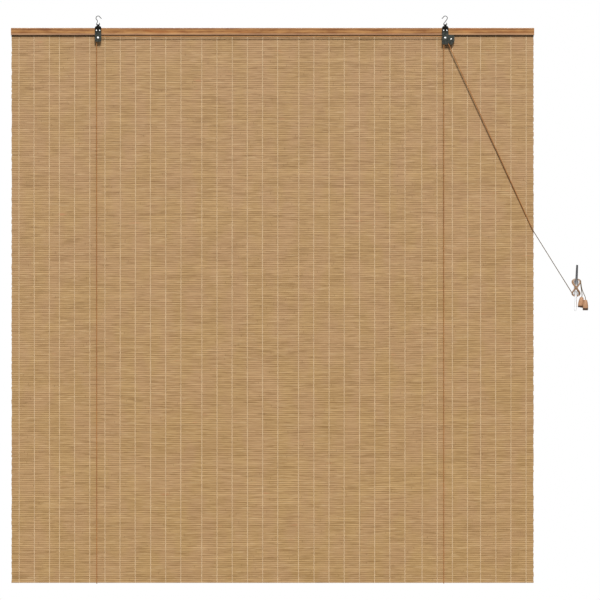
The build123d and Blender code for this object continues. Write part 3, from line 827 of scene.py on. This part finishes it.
def dark_plate(tree):
    x, y, z = tree.place()
    blotch = tree.noise(x * 240.0, y * 240.0, z * 240.0, 3.0)
    grit = tree.noise(x * 2600.0, y * 2600.0, z * 2600.0, 2.0)
    level = tree.step(blotch * 0.7 + grit * 0.3, 0.3, 0.7)
    # painted shade and dark reflection: nearly black towards the fold
    fold_shade = tree.step(z, FOLD_SHADE_FROM, FOLD_SHADE_WHOLE)
    color = tree.mix(level, paint(38, 40, 37), paint(74, 77, 71))
    return {
        "Base Color": tree.mix(fold_shade * 0.95, color, paint(6, 5, 4)),
        "Metallic": 0.1,
        "Roughness": 0.46 + blotch * 0.16,
        "Specular IOR Level": 0.07,
        "Normal": tree.bump(grit, 0.06 * MM),
    }


plate_finish = make_finish("dark_zinc_plate", dark_plate)
PLATES = ("left_strap", "right_strap", "lock_cam")
for name in PLATES:
    dress(name, plate_finish)
print(plate_finish.name, "on", PLATES)

# %% [markdown]
# ## Other metal, and the sheaves
# The screws, sleeves and rivets are bright steel, the hooks and staples are dark drawn wire, the cleat is
# plated and polished, and the sheaves and the bush are grey plastic. Each could be one flat colour, but a
# little noise in the colour and in the roughness breaks up the shine as wear does. The photograph shows
# the cleat's lower horn nearly white and its upper horn dark, so its colour fades from one to the other
# along its height. On a real cleat that is mostly reflection. Something dark for it to mirror would be the
# better way, because a painted fade doesn't change with the light.

# %% Other finishes
FADE_BELOW, FADE_ABOVE = 22 * MM, 34 * MM


def bright_steel(tree):
    x, y, z = tree.place()
    lathe = tree.noise(x * 900.0, y * 900.0, z * 900.0, 2.0)
    return {
        "Base Color": tree.mix(lathe, paint(214, 214, 210), paint(244, 244, 240)),
        "Metallic": 0.9,
        "Roughness": 0.22 + lathe * 0.16,
    }


def steel_wire(tree):
    x, y, z = tree.place()
    draw = tree.noise(x * 500.0, y * 1200.0, z * 500.0, 3.0)
    return {
        "Base Color": tree.mix(draw, paint(20, 20, 19), paint(46, 46, 44)),
        "Metallic": 0.4,
        "Roughness": 0.34 + draw * 0.16,
        "Specular IOR Level": 0.3,
    }


def cleat_plating(tree):
    x, y, z = tree.place()
    haze = tree.noise(x * 120.0, y * 120.0, z * 60.0, 3.0)
    fade = tree.step(z, CLEAT.z - FADE_BELOW, CLEAT.z + FADE_ABOVE)
    color = tree.mix(fade, paint(246, 247, 248), paint(72, 72, 74))
    return {
        "Base Color": tree.mix(haze * 0.3, color, paint(170, 172, 174)),
        "Metallic": 0.85,
        "Roughness": 0.2 + haze * 0.14,
    }


def sheave_grey(tree):
    x, y, z = tree.place()
    wear = tree.noise(x * 600.0, y * 600.0, z * 600.0, 2.0)
    return {
        "Base Color": tree.mix(wear, paint(66, 66, 64), paint(104, 104, 101)),
        "Roughness": 0.5 + wear * 0.2,
    }


screws = ["left_screws", "right_screws", "left_sleeves", "right_sleeves"]
rivets = ["left_axle", "right_axle", "cam_pivot"]
wires = ["left_hook", "right_hook", "head_staples", "cord_anchors"]
sheaves = ["left_sheave", "rear_sheave", "front_sheave", "left_bush"]
finishes = {
    "bright_steel": ("bright_steel", bright_steel, screws + rivets),
    "steel_wire": ("drawn_wire", steel_wire, wires),
    "cleat_metal": ("cleat_plating", cleat_plating, ["cleat"]),
    "sheave_plastic": ("sheave_grey", sheave_grey, sheaves),
}
for slot, (title, build, names) in finishes.items():
    finish = make_finish(title, build)
    for name in names:
        dress(name, finish)
    print(finish.name, "on", names)

# %% [markdown]
# ## Stage
# The blind hangs before white in the photograph. A white wall behind it would catch its shadow, and there
# is none, so the surround itself is white, with a plain pale floor about a metre below the mat. The floor
# is wide enough to fill the other views, and its far edge stays below the front view. As sources of light
# both are darker than they look, so that they don't wash out the shadows or brighten the mat's foot.

# %% Floor and surround
FLOOR_DROP, FLOOR_HALF = 1.1, 32.0
FLOOR_LIGHT, FLOOR_LOOK = (0.2, 0.2, 0.2, 1.0), (0.74, 0.74, 0.73, 1.0)
SURROUND_LIGHT = 0.2


def looked_at(tree):
    """1 where the camera, a reflection or a clear piece shows the surface, 0 where it only gives light."""
    camera_ray, glossy_ray, clear_ray = [tree.node("ShaderNodeLightPath", output=f"Is {kind} Ray")
                                         for kind in ("Camera", "Glossy", "Transmission")]
    return camera_ray.most(glossy_ray).most(clear_ray)


def pale_floor(tree):
    return {"Base Color": tree.mix(looked_at(tree), FLOOR_LIGHT, FLOOR_LOOK), "Roughness": 0.9}


floor_shape = bmesh.new()
bmesh.ops.create_grid(floor_shape, x_segments=1, y_segments=1, size=FLOOR_HALF)
bmesh.ops.translate(floor_shape, vec=(0, 0, cad_low.z - FLOOR_DROP), verts=floor_shape.verts)
floor_mesh = make_mesh("floor", floor_shape)
floor_mesh.materials.append(make_finish("pale_floor", pale_floor))
floor = bpy.data.objects.new("floor", floor_mesh)
scene.collection.objects.link(floor)
floor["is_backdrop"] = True

world = bpy.data.worlds.new("white_surround")
scene.world = world
world.use_nodes = True
background = world.node_tree.nodes["Background"]
background.inputs["Color"].default_value = (1, 1, 1, 1)
strength = looked_at(Tree(world.node_tree)) * (1 - SURROUND_LIGHT) + SURROUND_LIGHT
world.node_tree.links.new(strength.socket, background.inputs["Strength"])
scene.view_settings.view_transform = "Standard"
print("floor at", round(cad_low.z - FLOOR_DROP, 3), "under", world.name)

# %% [markdown]
# The photograph's rail throws a thin soft shadow on the mat below it, so the main light comes from the
# front and from above, and here slightly from the right. Large area lamps could do this, but they fade
# with distance, and a blind this tall would be brighter at its top. A sun lamp lights all of it alike,
# and its angle sets how soft the shadow is. A weaker one lights the back for the other views.

# %% Lamps
LAMPS = {
    "front_lamp": {"energy": 3.08, "spread": 13, "fall": 57, "turn": 4},
    "back_lamp": {"energy": 1.6, "spread": 30, "fall": 60, "turn": 170},
}
for name, lamp_set in LAMPS.items():
    lamp_data = bpy.data.lights.new(name, "SUN")
    lamp_data.energy = lamp_set["energy"]
    lamp_data.angle = math.radians(lamp_set["spread"])
    lamp = bpy.data.objects.new(name, lamp_data)
    scene.collection.objects.link(lamp)
    lamp.rotation_euler = (math.radians(lamp_set["fall"]), 0, math.radians(lamp_set["turn"]))
    print(name, lamp_set)

# %% Finish
low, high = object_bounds()
print("dressed box", [round(v, 4) for v in (*low, *high)])
